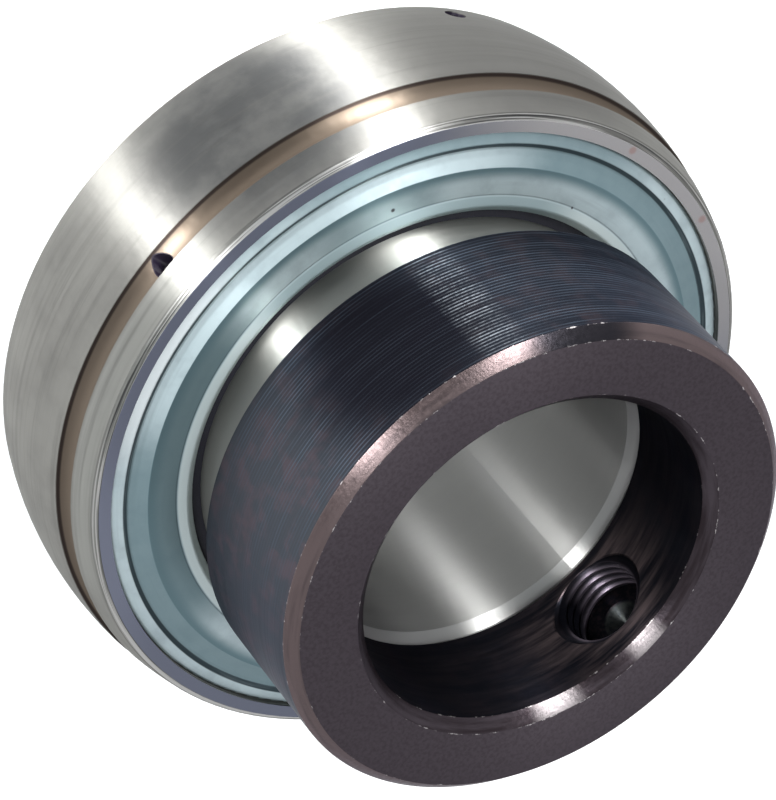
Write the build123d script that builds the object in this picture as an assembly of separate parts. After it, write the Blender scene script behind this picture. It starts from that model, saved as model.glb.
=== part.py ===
from build123d import *
import math
import os

# Sizes of a 30 mm insert bearing, in millimetres.
# The origin is the centre of the outer ring's sphere, and the shaft runs along Z.
# Radii build up from the shaft bore through both walls and the balls to the 62 mm sphere.
shaft_bore_d = 30.0
inner_race_wall = 3.2225     # inner ring under the balls
outer_race_wall = 3.2225     # outer ring over the balls
far_reach = 18.3             # sphere centre to the inner ring's far end
near_reach = 17.4            # sphere centre to the inner ring's end inside the collar

# Rolling elements
ball_count = 9
ball_d = 9.525
race_conformity = 0.52       # raceway groove radius as a share of the ball's diameter
race_play = 0.015            # radial gap between a ball and each raceway

# Cage of two riveted pressed ribbons
cage_sheet = 0.7
cage_width = 3.8
pocket_play = 0.12
rivet_d = 1.2
rivet_fit = 0.02
rivet_head_d = 2.3
rivet_head_height = 0.45

# Outer ring, whose two end faces stand 18 mm apart
outer_shoulder_height = 1.5775
seat_step = 2.0              # from the shoulder out to the bore that holds a seal
grease_space = 0.7175        # between the cage and each seal
corner_height = 0.45
corner_width = 0.55
groove_to_seat = 1.3         # middle of the grease groove to the near seal seat
grease_groove_width = 2.2
grease_groove_depth = 0.85
grease_hole_d = 1.9
grease_hole_angle = 186.9    # round the shaft, from the set screw
dimple_d = 1.8
dimple_depth = 1.2
dimple_to_face = 2.4
dimple_angle = 120.6

# Inner ring and its eccentric cam
land_height = 1.6275         # ground land above the raceway's floor
cam_wall = 2.1               # cam at its thinnest
cam_offset = 0.8
cam_length = 3.8
cam_bevel = 0.4
undercut_width = 0.7
undercut_depth = 0.3
bore_bevel = 0.8
land_bevel = 0.6

# Seals, one on each side: washer, rubber and shield lie on each other in the seat.
# Rises and sinks are counted from the outer ring's end face.
seal_fit = 0.05              # between a seal's rim and its seat
lip_play = 0.03              # between the rubber lip and the inner ring's land
shield_sheet = 0.6
shield_gap = 1.05            # between the shield's bore and the land
rim_width = 1.07
rim_fall = 0.28              # the rolled rim leans outwards by this much
rim_slope = 0.5
rim_sink = 0.15
valley_sink = 0.45
valley_width = 0.68          # the valley's floor, which climbs a little inwards
valley_climb = 0.15
plateau_slope = 0.95
plateau_rise = 0.05
ridge_outer_slope = 0.8
ridge_width = 0.15
ridge_inner_slope = 0.6
ridge_rise = 0.35
shield_edge_sink = 0.15
shield_edge_height = 0.6
rim_round = 0.35
rim_inner_round = 0.2
valley_round = 0.4
slope_foot_round = 1.5
plateau_round = 0.15
crest_round = 0.2
shield_edge_round = 0.3
washer_sheet = 0.5
washer_gap = 0.65            # between the backing washer's bore and the land
rubber_sheet = 1.15
rubber_outer_gap = 0.05
rubber_wall = 0.35
lip_shield_gap = 0.1         # rubber lip to the shield's bore
lip_tip_sink = 0.8
lip_back_sink = 0.95
lip_slope_width = 0.9

# Locking collar and its set screw
collar_wall = 3.5            # round the eccentric recess, at its thinnest
collar_play = 0.35           # between the collar's bore and the shaft, on the radius
collar_gap = 0.35            # between the collar's rear face and the inner ring's shoulder
collar_front_bevel = 1.0
collar_rear_bevel = 0.5
collar_bore_bevel = 1.0
cam_fit = 0.2                # the eccentric recess over the cam, on the radius
recess_floor_gap = 0.6
recess_to_screw = 0.7        # metal between the recess and the screw's hole
screw_to_face = 2.95         # metal between the screw's hole and the collar's front face
screw_pitch_d = 7.3          # thread modelled plain, at its pitch diameter
screw_fit = 0.05
screw_length = 5.0
screw_tip_depth = 3.8        # how far the tip stands back from the collar's bore
screw_bevel = 0.7
cup_d = 3.6
cup_floor_d = 0.4
cup_depth = 0.8
socket_across = 4.0
socket_depth = 2.6
countersink = 0.45
drift_hole_d = 6.0
drift_hole_depth = 2.5
drift_hole_angle = -62.0

cutter_spare = 1.0           # how far a cutter runs past the face it opens

# Sizes that follow from those above, outwards from the shaft
bore_r = shaft_bore_d / 2
ball_r = ball_d / 2
inner_race_r = bore_r + inner_race_wall
pitch_r = inner_race_r + race_play + ball_r
outer_race_r = pitch_r + ball_r + race_play
sphere_r = outer_race_r + outer_race_wall
race_round = ball_d * race_conformity
land_r = inner_race_r + land_height
shoulder_r = outer_race_r - outer_shoulder_height
seat_r = shoulder_r + seat_step
cam_r = bore_r + cam_wall + cam_offset
recess_r = cam_r + cam_fit
collar_r = recess_r + cam_offset + collar_wall
collar_bore_r = bore_r + collar_play
screw_r = screw_pitch_d / 2
screw_hole_r = screw_r + screw_fit
ball_step = 360 / ball_count

# Heights along the shaft that follow from those above
cage_top = ball_r + pocket_play + cage_sheet
seat_floor = cage_top + grease_space
seal_foot = seat_floor + washer_sheet
valley_top = seal_foot + rubber_sheet + shield_sheet
half_width = valley_top + valley_sink
groove_z = seat_floor - groove_to_seat
dimple_z = dimple_to_face - half_width
cam_foot = near_reach - cam_length
collar_rear = cam_foot + collar_gap
recess_top = near_reach + recess_floor_gap
screw_z = recess_top + recess_to_screw + screw_hole_r
collar_face = screw_z + screw_hole_r + screw_to_face

on_floor = (Align.CENTER, Align.CENTER, Align.MIN)
under_ceiling = (Align.CENTER, Align.CENTER, Align.MAX)


def box_section(inner, outer, low, high):
    """A rectangle in the (radius, height) plane."""
    middle = Pos((inner + outer) / 2, (low + high) / 2)
    return middle * Rectangle(outer - inner, high - low)


def outline(*points):
    """A straight-sided section through points of (radius, height)."""
    return make_face(Polyline(*points, close=True))


def turned(section):
    """Turn a (radius, height) section round the shaft axis."""
    return revolve(Plane.XZ * section, Axis.Z)


def radial_drill(radius, inner, outer, height, angle):
    """A round cutter that points outwards from the shaft at one angle."""
    drill = Cylinder(radius, outer - inner, rotation=(0, 90, 0))
    return Rot(0, 0, angle) * Pos((inner + outer) / 2, 0, height) * drill


def corner_cut(side):
    """What the turned corner takes off the sphere at one end face."""
    corner_z = half_width - corner_height
    corner_r = math.sqrt(sphere_r**2 - corner_z**2)
    return outline(
        (corner_r, side * corner_z),
        (corner_r - corner_width, side * half_width),
        (sphere_r, side * half_width),
        (sphere_r, side * corner_z),
    )


def outer_ring():
    """Spherical outer ring with its raceway, seal seats, grease groove and hole."""
    section = Circle(sphere_r) & box_section(shoulder_r, sphere_r, -half_width, half_width)
    race_centre = outer_race_r - race_round
    section -= Pos(race_centre, 0) * Circle(race_round)
    for side in (-1, 1):
        low, high = sorted((side * seat_floor, side * half_width))
        section -= box_section(shoulder_r, seat_r, low, high)
        section -= corner_cut(side)
    groove_skin = math.sqrt(sphere_r**2 - groove_z**2)
    half_groove = grease_groove_width / 2
    groove_round = (half_groove**2 + grease_groove_depth**2) / (2 * grease_groove_depth)
    groove_centre = groove_skin - grease_groove_depth + groove_round
    slope = groove_centre / groove_skin
    section -= Pos(groove_centre, groove_z * slope) * Circle(groove_round)
    ring = turned(section)
    hole_start = shoulder_r - cutter_spare
    ring -= radial_drill(grease_hole_d / 2, hole_start, sphere_r, groove_z, grease_hole_angle)
    dimple_skin = math.sqrt(sphere_r**2 - dimple_z**2)
    dimple_floor = dimple_skin - dimple_depth
    ring -= radial_drill(dimple_d / 2, dimple_floor, sphere_r + cutter_spare, dimple_z, dimple_angle)
    return ring


def inner_ring():
    """Extended inner ring: raceway, seal lands and the eccentric cam at one end."""
    section = box_section(bore_r, land_r, -far_reach, cam_foot)
    race_centre = inner_race_r + race_round
    section -= Pos(race_centre, 0) * Circle(race_round)
    section -= outline(
        (land_r - land_bevel, -far_reach),
        (land_r, -far_reach + land_bevel),
        (land_r, -far_reach),
    )
    section -= outline(
        (bore_r + bore_bevel, -far_reach),
        (bore_r, -far_reach + bore_bevel),
        (bore_r, -far_reach),
    )
    ring = turned(section)
    cam = extrude(Circle(cam_r), cam_length)
    cam = chamfer(cam.edges().sort_by(Axis.Z)[-1], cam_bevel)
    undercut = Cylinder(cam_r + cutter_spare, undercut_width, align=on_floor)
    undercut -= Cylinder(cam_r - undercut_depth, undercut_width, align=on_floor)
    cam -= undercut
    ring += Pos(0, cam_offset, cam_foot) * cam
    ring -= Cylinder(bore_r, 2 * (near_reach + far_reach))
    bevel = Cone(bore_r, bore_r + bore_bevel, bore_bevel, align=under_ceiling)
    ring -= Pos(0, 0, near_reach) * bevel
    return ring


def round_pitch(shift):
    """Places on the pitch circle, turned on by a share of the step between balls."""
    return [Rot(0, 0, (number + shift) * ball_step) * Pos(pitch_r, 0, 0) for number in range(ball_count)]


def cage_half(side):
    """One pressed ribbon: a domed pocket for every ball and flat bridges between."""
    inner = pitch_r - cage_width / 2
    outer = pitch_r + cage_width / 2
    blank = turned(box_section(inner, outer, 0, cage_sheet))
    band = turned(box_section(inner, outer, 0, cage_top))
    for place in round_pitch(0):
        blank += (place * Sphere(cage_top)) & band
    for place in round_pitch(0):
        blank -= place * Sphere(ball_r + pocket_play)
    for place in round_pitch(0.5):
        blank -= place * Cylinder(rivet_d / 2 + rivet_fit, 4 * cage_sheet)
    return blank if side > 0 else mirror(blank, Plane.XY)


def cage_rivets():
    """Nine rivets, each a shank with a low domed head at both ends."""
    round_r = ((rivet_head_d / 2) ** 2 + rivet_head_height**2) / (2 * rivet_head_height)
    head = Pos(0, 0, cage_sheet + rivet_head_height - round_r) * Sphere(round_r)
    head &= Pos(0, 0, cage_sheet + rivet_head_height) * Cylinder(rivet_head_d, 2 * rivet_head_height)
    rivet = Cylinder(rivet_d / 2, 2 * cage_sheet) + head + mirror(head, Plane.XY)
    return Compound(children=[place * rivet for place in round_pitch(0.5)])


def shield_section():
    """Pressed steel shield: rolled rim, valley, plateau and a raised ridge at its bore."""
    rim_r = seat_r - seal_fit
    rim_inner = rim_r - rim_width
    valley_r = rim_inner - rim_slope
    slope_foot = valley_r - valley_width
    plateau_outer = slope_foot - plateau_slope
    bore = land_r + shield_gap
    ridge_inner = bore + ridge_inner_slope
    ridge_outer = ridge_inner + ridge_width
    plateau_inner = ridge_outer + ridge_outer_slope
    rim_top = half_width - rim_sink
    plateau_top = half_width + plateau_rise
    ridge_top = half_width + ridge_rise
    edge_top = half_width - shield_edge_sink
    edge_foot = edge_top - shield_edge_height
    skin = [
        (rim_r, rim_top - rim_fall),
        (rim_inner, rim_top),
        (valley_r, valley_top),
        (slope_foot, valley_top + valley_climb),
        (plateau_outer, plateau_top),
        (plateau_inner, plateau_top),
        (ridge_outer, ridge_top),
        (ridge_inner, ridge_top),
        (bore, edge_top),
    ]
    under = [(radius, height - shield_sheet) for radius, height in skin]
    under[0] = (rim_r - shield_sheet, rim_top - rim_fall / 2 - shield_sheet)
    under[-1] = (bore + shield_sheet, edge_top - shield_sheet / 2)
    sheet = outline(
        (rim_r, seal_foot),
        *skin,
        (bore, edge_foot),
        (bore + shield_sheet, edge_foot),
        *reversed(under),
        (rim_r - shield_sheet, seal_foot),
    )
    rounds = {
        rim_r: rim_round,
        rim_inner: rim_inner_round,
        valley_r: valley_round,
        slope_foot: slope_foot_round,
        plateau_outer: plateau_round,
        ridge_outer: crest_round,
        ridge_inner: crest_round,
        bore: shield_edge_round,
    }
    for radius, rounding in rounds.items():
        at_radius = [corner for corner in sheet.vertices() if abs(corner.X - radius) < 1e-6]
        sheet = fillet(max(at_radius, key=lambda corner: corner.Y), rounding)
    return sheet


def shield(side):
    """The zinc-plated outer shield of one seal."""
    sheet = turned(shield_section())
    return sheet if side > 0 else mirror(sheet, Plane.XY)


def rubber_lip(side):
    """Rubber disc with a lip that turns up along the inner ring's land."""
    top = valley_top - shield_sheet
    rim = seat_r - seal_fit - shield_sheet - rubber_outer_gap
    tip = land_r + lip_play
    back = land_r + shield_gap - lip_shield_gap
    disc = outline(
        (rim, seal_foot),
        (rim, top),
        (back + lip_slope_width, top),
        (back, half_width - lip_back_sink),
        (tip, half_width - lip_tip_sink),
        (tip + rubber_wall, top),
        (tip + rubber_wall, seal_foot),
    )
    disc = turned(disc)
    return disc if side > 0 else mirror(disc, Plane.XY)


def backing_washer(side):
    """Flat steel washer that closes the seal on the ball side."""
    washer = turned(box_section(land_r + washer_gap, seat_r - seal_fit, seat_floor, seal_foot))
    return washer if side > 0 else mirror(washer, Plane.XY)


def locking_collar():
    """Eccentric locking collar with its screw hole and the blind hole for a drift."""
    section = box_section(collar_bore_r, collar_r, collar_rear, collar_face)
    section -= outline(
        (collar_r - collar_front_bevel, collar_face),
        (collar_r, collar_face - collar_front_bevel),
        (collar_r, collar_face),
    )
    section -= outline(
        (collar_r - collar_rear_bevel, collar_rear),
        (collar_r, collar_rear + collar_rear_bevel),
        (collar_r, collar_rear),
    )
    section -= outline(
        (collar_bore_r + collar_bore_bevel, collar_face),
        (collar_bore_r, collar_face - collar_bore_bevel),
        (collar_bore_r, collar_face),
    )
    collar = turned(section)
    recess = Cylinder(recess_r, recess_top - collar_rear, align=on_floor)
    collar -= Pos(0, cam_offset, collar_rear) * recess
    collar -= radial_drill(screw_hole_r, 0, collar_r + cutter_spare, screw_z, 0)
    sink = Cone(screw_hole_r, screw_hole_r + countersink, countersink, rotation=(0, 90, 0))
    collar -= Pos(collar_r - countersink / 2, 0, screw_z) * sink
    drift_floor = collar_r - drift_hole_depth
    collar -= radial_drill(drift_hole_d / 2, drift_floor, collar_r + cutter_spare, screw_z, drift_hole_angle)
    return collar


def set_screw():
    """Cup-point set screw with a hexagon socket, standing back in its hole."""
    tip = collar_bore_r + screw_tip_depth
    tail = tip + screw_length
    shank = Cylinder(screw_r, screw_length)
    shank = chamfer(shank.edges().sort_by(Axis.Z)[0], screw_bevel)
    shank = chamfer(shank.edges().sort_by(Axis.Z)[-1], screw_bevel / 2)
    cup = Cone(cup_d / 2, cup_floor_d / 2, cup_depth, align=on_floor)
    shank -= Pos(0, 0, -screw_length / 2) * cup
    socket = extrude(RegularPolygon(socket_across / 2, 6, major_radius=False), socket_depth)
    shank -= Pos(0, 0, screw_length / 2 - socket_depth) * socket
    return Pos((tip + tail) / 2, 0, screw_z) * Rot(0, 90, 0) * shank


def write(shape, node):
    """Write one node as parts/NODE.step."""
    shape.label = node
    export_step(shape, f"parts/{node}.step")


os.makedirs("parts", exist_ok=True)
write(outer_ring(), "outer_ring")
write(inner_ring(), "inner_ring")
for number, place in enumerate(round_pitch(0), start=1):
    write(place * Sphere(ball_r), f"ball_{number}")
write(cage_half(1), "cage_collar_half")
write(cage_half(-1), "cage_far_half")
write(cage_rivets(), "cage_rivets")
for side, name in ((1, "collar_side"), (-1, "far_side")):
    write(shield(side), f"{name}_shield")
    write(rubber_lip(side), f"{name}_rubber_lip")
    write(backing_washer(side), f"{name}_backing_washer")
write(locking_collar(), "locking_collar")
write(set_screw(), "set_screw")
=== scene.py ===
import math
from collections import namedtuple

import bpy
from bpy.props import FloatProperty, FloatVectorProperty, IntProperty, PointerProperty
from mathutils import Matrix, Vector


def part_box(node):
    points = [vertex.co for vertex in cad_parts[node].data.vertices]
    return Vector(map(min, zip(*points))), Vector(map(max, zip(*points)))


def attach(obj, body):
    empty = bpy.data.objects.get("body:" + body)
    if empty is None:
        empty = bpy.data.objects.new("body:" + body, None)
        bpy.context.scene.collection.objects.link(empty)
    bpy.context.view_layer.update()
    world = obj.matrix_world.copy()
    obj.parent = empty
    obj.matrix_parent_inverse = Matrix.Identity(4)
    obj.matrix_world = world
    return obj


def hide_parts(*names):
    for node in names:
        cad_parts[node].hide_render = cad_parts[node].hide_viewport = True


bl_info = {
    "name": "Insert bearing finish",
    "version": (1, 0, 0),
    "blender": (4, 5, 0),
    "location": "View3D > Sidebar > Bearing",
    "description": "Dresses a mounted ball bearing: ground rings, zinc shields and a turned black collar",
    "category": "Object",
}

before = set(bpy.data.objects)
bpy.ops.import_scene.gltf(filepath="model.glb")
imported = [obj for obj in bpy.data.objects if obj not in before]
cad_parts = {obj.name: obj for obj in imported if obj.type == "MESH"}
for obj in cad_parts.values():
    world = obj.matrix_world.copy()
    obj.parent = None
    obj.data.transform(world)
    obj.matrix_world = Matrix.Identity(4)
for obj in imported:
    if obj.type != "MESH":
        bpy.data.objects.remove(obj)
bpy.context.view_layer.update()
collar_low, collar_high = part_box("locking_collar")
screw_low, screw_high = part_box("set_screw")
ring_skin, ring_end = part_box("outer_ring")[1].yz
floor_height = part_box("inner_ring")[0].z
collar_middle = (collar_low.z + collar_high.z) / 2
screw_middle = (screw_low.z + screw_high.z) / 2

MM = 0.001
WELD = 1e-7    # corners closer than this are joined
SMOOTH_BELOW = math.radians(25)    # faces that meet at less than this are shaded as one
TURNED_EDGE = math.radians(30)    # sharper edges of the collar are rounded
SQUARE_EDGE = math.radians(60)    # sharper edges of the screw's blank are bevelled

# One pitch of each thread, in shares of the pitch
TAP_THREAD = (("crest", 0), ("crest", 0.25), ("root", 0.55), ("root", 0.7), ("crest", 1))
SCREW_THREAD = (
    ("root", -0.5), ("root", -0.35), ("crest", -0.05), ("crest", 0.05), ("root", 0.35), ("root", 0.5),
)
TAP_GROOVE_MIDDLE = 0.625

# Widths over which one finish turns into the next
SOFT = 0.1 * MM
CRISP = 0.02 * MM
SHARP = 0.01 * MM

# A stretch round the shaft in degrees, and a round mark
Arc = namedtuple("Arc", "middle half soft strength", defaults=[1.0])
Spot = namedtuple("Spot", "degrees radius height reach strength", defaults=[1.0])

# Where the rings carry painted shade or painted light, and where they are marked
RING_SHADE_SPOT = Spot(163, ring_skin, 0, 13 * MM)
RING_SHADE_PATCH = Spot(118, ring_skin, 0, 15 * MM, 0.85)
RING_PAINTED_LIGHT = Arc(215, 28, 14, 0.7)
RING_PAINTED_LIGHT_HEIGHT = 6.5 * MM
FACE_PAINTED_LIGHT = Arc(90, 42, 14)
SMUDGES = [Spot(degrees, 28.9 * MM, ring_end, 0.5 * MM, 0.5) for degrees in (77.9, 100.8)]

# Where the zinc carries painted shade, where its slope keeps its light, where it has a painted highlight,
# and where it is nicked
RIM_SHADE = Arc(130, 32, 8, 0.65)
RIM_HIGHLIGHT = Arc(200, 14, 10, 0.8)
SLOPE_LIT = Arc(168, 45, 10, 0.8)
PLATEAU_SHADE = Arc(225, 38, 8, 0.85)
PLATEAU_SHADE_AT_HIGHLIGHT = Arc(152, 12, 6, 0.5)
RIDGE_SHADE = Arc(145, 38, 8, 0.6)
NICKS = (
    Spot(87.0, 27.4 * MM, ring_end, 0.28 * MM),
    Spot(149.1, 23.2 * MM, ring_end, 0.25 * MM),
    Spot(105.0, 22.4 * MM, ring_end, 0.18 * MM),
)

# Where the black oxide carries painted shade or painted highlights, and where it is worn
SIDE_SHADE_SPOT = Spot(167, collar_high.y, collar_middle, 11 * MM)
SIDE_SHINE_DEGREES = 150
SIDE_WORN = Arc(228, 34, 16, 0.75)
SIDE_HIGHLIGHT = Arc(149.5, 3, 3)
BEVEL_SHADE = Arc(133, 11, 5, 0.9)
BEVEL_HIGHLIGHTS = (Arc(3, 3, 5), Arc(-30, 5, 5))
THREAD_SHADE = Spot(-11.3, 17.3 * MM, screw_middle - 2 * MM, 3.6 * MM)
WALL_RUBBED = (3.5 * MM, 9 * MM)    # distances from the screw's axis between which the rubbing sets in
EDGE_WEAR = 0.21 * MM    # how far the bare steel reaches from an edge
EDGE_RAGGED = 0.5 * MM    # how far its outline wanders

# The studio: strip lamps by azimuth, elevation, width and power, the floor and the sky
STRIPS = {
    "right_strip": (127, 38, 0.10, 1.2),
    "right_low_strip": (127, 12, 0.10, 2.28),
    "left_strip": (192, 38, 0.065, 0.8),
    "left_low_strip": (192, 12, 0.065, 1.52),
}
STRIP_DISTANCE = 0.5
STRIP_LENGTH = 0.22
FLOOR_WIDTH = 4.0
FLOOR_GLOW = 0.42
SKY_TOP = (1.05, 1.12, 1.15)
SKY_SIDE = (0.62, 0.63, 0.65)
SKY_BEHIND = (0.17, 0.175, 0.19)
SKY_TOP_RISE = (0.78, 0.98)    # sines of the elevations between which the sky takes its top colour
SKY_BEHIND_TURN = (0.3, 0.8)    # cosines of the turns from the camera between which it takes its dim one

# The photograph's camera: its aim, angles and long lens
CAMERA_AIM = Vector((1.849, -0.857, 1.983)) * MM
CAMERA_TURN = math.radians(172.95)
CAMERA_RISE = math.radians(44.38)
CAMERA_ROLL = math.radians(139.6)
CAMERA_DISTANCE = 399.8 * MM
CAMERA_NEAR = 10 * MM
CAMERA_LENS = 215.6
CAMERA_SENSOR = 36.0


def length(name, default, text):
    """A length in metres that a user would change."""
    return FloatProperty(name=name, default=default, description=text, unit="LENGTH", precision=5)


def angle(name, degrees, text):
    """An angle that a user would change."""
    return FloatProperty(name=name, default=math.radians(degrees), description=text, subtype="ANGLE")


def colour(name, default, text):
    """A linear colour that a user would change."""
    return FloatVectorProperty(name=name, default=default, description=text, subtype="COLOR", min=0, max=1)


class BearingSizes(bpy.types.PropertyGroup):
    """Sizes of the rings' turned features, the collar, its thread and its set screw."""

    shoulder: length("Shoulder", 26.0 * MM, "Inside radius of the outer ring")
    groove_height: length("Groove height", 5.0 * MM, "Height of the grease groove")
    groove_half: length("Groove half width", 1.2 * MM, "Half the width that the groove's brown may reach")
    groove_line: length("Groove line", 1.02 * MM, "Where the dark lines start, from the groove's middle")
    grease_hole_angle: angle("Grease hole angle", 186.9, "Place of the hole in the groove round the shaft")
    grease_hole_radius: length("Grease hole radius", 0.98 * MM, "Radius of the hole in the groove")
    dimple_angle: angle("Dimple angle", 120.6, "Place of the drilled mark round the shaft")
    dimple_height: length("Dimple height", -6.6 * MM, "Height of the drilled mark on the outer ring")
    # Reach of the painted shade in the drilled mark
    dimple_reach: length("Dimple reach", 3.2 * MM, "How far the grease reaches in the drilled mark")
    corner_height: length("Corner height", 8.55 * MM, "Height where the outer ring's turned corner starts")
    crease: length("Crease", 26.84 * MM, "Middle of the slope inside a shield's rolled rim")
    plateau_edge: length("Plateau edge", 24.95 * MM, "Outside of a shield's flat plateau")
    ridge_foot: length("Ridge foot", 22.45 * MM, "Outside of the ridge round a shield's opening")
    bevel_reach: length("Bevel reach", 17.6 * MM, "Outside of the inner ring's end bevel")
    land_reach: length("Land reach", 20.5 * MM, "Just outside the inner ring's land")
    collar_radius: length("Collar radius", collar_high.y, "Outside of the locking collar")
    collar_face: length("Collar face", collar_high.z, "Height of the collar's front face")
    collar_rear: length("Collar rear", collar_low.z, "Height of the collar's rear face")
    collar_bore: length("Collar bore", 15.35 * MM, "Radius of the collar's bore")
    front_bevel: length("Front bevel", 1.0 * MM, "Bevel outside and inside the front face")
    rear_bevel: length("Rear bevel", 0.5 * MM, "Bevel outside the rear face")
    recess_radius: length("Recess radius", 18.1 * MM, "Eccentric recess over the cam")
    recess_offset: length("Recess offset", 0.8 * MM, "How far the recess stands off the shaft's axis")
    recess_top: length("Recess top", 18.0 * MM, "Height of the recess's ceiling")
    feed_pitch: length("Feed pitch", 0.36 * MM, "Spacing of the turned grooves round the collar")
    feed_depth: length("Feed depth", 0.03 * MM, "Depth of the turned grooves")
    edge_round: length("Edge round", 0.07 * MM, "Rounding of the collar's turned edges")
    screw_height: length("Screw height", screw_middle, "Height of the set screw's axis")
    hole_radius: length("Hole radius", 3.44 * MM, "Crests of the thread in the collar")
    thread_pitch: length("Thread pitch", 1.0 * MM, "Pitch of the set screw's thread")
    thread_depth: length("Thread depth", 0.56 * MM, "Depth of the thread's grooves")
    thread_play: length("Thread play", 0.04 * MM, "Gap between the two threads")
    thread_start: length("Thread start", 11.0 * MM, "Where the tap starts, inside the collar's bore")
    mouth: length("Mouth", 0.30 * MM, "Countersink at the inner end of the threaded hole")
    drift_radius: length("Drift hole radius", 3.0 * MM, "Blind hole for the locking drift")
    drift_depth: length("Drift hole depth", 2.5 * MM, "Depth of the drift hole")
    drift_angle: angle("Drift hole angle", -62, "Place of the drift hole round the shaft")
    screw_bevel: length("Screw bevel", 0.7 * MM, "Bevel at the screw's tip")
    cup_radius: length("Cup radius", 1.8 * MM, "Rim of the cup in the screw's tip")
    cup_floor: length("Cup floor", 0.2 * MM, "Radius of the flat at the bottom of the cup")
    cup_depth: length("Cup depth", 0.8 * MM, "Depth of the cup")
    socket_across: length("Socket", 4.0 * MM, "Hexagon socket, across its flats")
    socket_depth: length("Socket depth", 2.6 * MM, "Depth of the hexagon socket")
    turn_steps: IntProperty(name="Steps", default=224, min=32, description="Faces round a turned piece")
    thread_steps: IntProperty(name="Thread steps", default=56, min=16, description="Faces round a thread")


class BearingColours(bpy.types.PropertyGroup):
    """Colours of the finishes."""

    ground_steel: colour("Ground steel", (0.30, 0.296, 0.276), "Ground rings")
    # Also painted shade on one patch of the outer ring
    dull_steel_and_painted_shade: colour("Steel shade", (0.185, 0.182, 0.172), "Duller patches of the ground rings")
    # Painted shade: darkens the outer ring between its two highlights
    ring_painted_shade: colour("Oil film", (0.085, 0.088, 0.092), "Ring steel under a film of oil")
    # Also painted light on a stretch of the outer ring
    land_steel_and_painted_light: colour("Land steel", (0.38, 0.385, 0.36), "Ground land of the inner ring, under the seals")
    bore_steel: colour("Bore steel", (0.56, 0.56, 0.545), "Honed bore of the inner ring")
    groove_brown: colour("Groove", (0.225, 0.177, 0.135), "Varnish in the grease groove")
    groove_edge: colour("Groove edge", (0.065, 0.050, 0.045), "Dark line along the groove's edges")
    corner_dark: colour("Turned corner", (0.10, 0.10, 0.10), "Hollows of the turned corner")
    corner_light: colour("Turned corner, crests", (0.70, 0.69, 0.67), "Crests of the turned corner")
    face_blue: colour("End face", (0.165, 0.178, 0.235), "Turned end faces of the outer ring")
    # Painted light: a paler stretch of the end faces
    face_painted_light: colour("End face, worn", (0.34, 0.33, 0.335), "Paler stretch of the end faces")
    # Painted shade inside the grease hole and the drilled mark
    grease: colour("Grease", (0.020, 0.014, 0.030), "Old grease in the grease hole and the drilled mark")
    smudge: colour("Smudge", (0.30, 0.14, 0.12), "Faint red marks on the end face")
    zinc: colour("Zinc", (0.62, 0.74, 0.77), "Zinc plate")
    zinc_shade: colour("Zinc shade", (0.47, 0.57, 0.60), "Duller patches of the zinc")
    # Painted shade on stretches of the zinc
    zinc_painted_shade: colour("Zinc, blue", (0.165, 0.26, 0.29), "Bluer stretches of the zinc")
    # Painted light on the ridge
    zinc_ridge_painted_light: colour("Zinc, pale", (0.60, 0.69, 0.69), "Paler zinc on the ridge")
    # Painted highlight on a stretch of the rolled rim
    zinc_painted_highlight: colour("Zinc, bright", (0.92, 0.96, 0.97), "Rubbed stretch of the rolled rim")
    # Painted shade in the creases
    crease_shade: colour("Grime", (0.07, 0.10, 0.115), "Dark lines where the zinc is creased")
    nick: colour("Nick", (0.06, 0.06, 0.07), "Bottom of a nick")
    oxide: colour("Oxide", (0.014, 0.016, 0.022), "Black oxide")
    # Painted shade on the collar's side and in the thread
    oxide_painted_shade: colour("Oxide, oiled", (0.005, 0.005, 0.008), "Black oxide under a drop of oil")
    oxide_worn: colour("Oxide, worn", (0.060, 0.066, 0.076), "Smooth worn stretch of the collar's side")
    # Crests of the turned lines, with a painted sheen
    oxide_crest_and_sheen: colour("Oxide, crests", (0.062, 0.078, 0.102), "Crests of the collar's turned lines")
    oxide_purple: colour("Oxide, brown", (0.036, 0.027, 0.031), "Purple-brown cast of the oxide")
    oxide_face: colour("Oxide on the face", (0.086, 0.071, 0.082), "Purple-grey cast of the collar's face")
    oxide_thread: colour("Oxide in the thread", (0.20, 0.17, 0.21), "Thin oxide on the tapped thread")
    copper: colour("Bevel", (0.16, 0.122, 0.122), "Thin oxide on the collar's bevels")
    # Painted highlights on the bevel round the bore
    bevel_painted_highlight: colour("Bevel, rubbed", (0.21, 0.19, 0.195), "Rubbed marks on the bevel round the bore")
    wall_brown: colour("Bore wall", (0.150, 0.115, 0.118), "Brown streaks in the collar's bore")
    cup_steel: colour("Cup", (0.05, 0.056, 0.054), "Worn steel in the screw's cup")
    bare_edge: colour("Bare edge", (0.62, 0.58, 0.58), "Steel where the oxide has rubbed off")
    # Painted highlight on the crests in a narrow stretch
    crest_painted_highlight: colour("Bare crests", (0.30, 0.33, 0.36), "Crests of the turned lines, rubbed bright")
    rubber: colour("Rubber", (0.010, 0.010, 0.016), "Seal lips")
    ball: colour("Balls", (0.66, 0.66, 0.68), "Polished balls")
    sheet: colour("Cage", (0.50, 0.50, 0.48), "Pressed cage")
    floor: colour("Floor", (0.84, 0.84, 0.84), "Studio floor")


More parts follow.
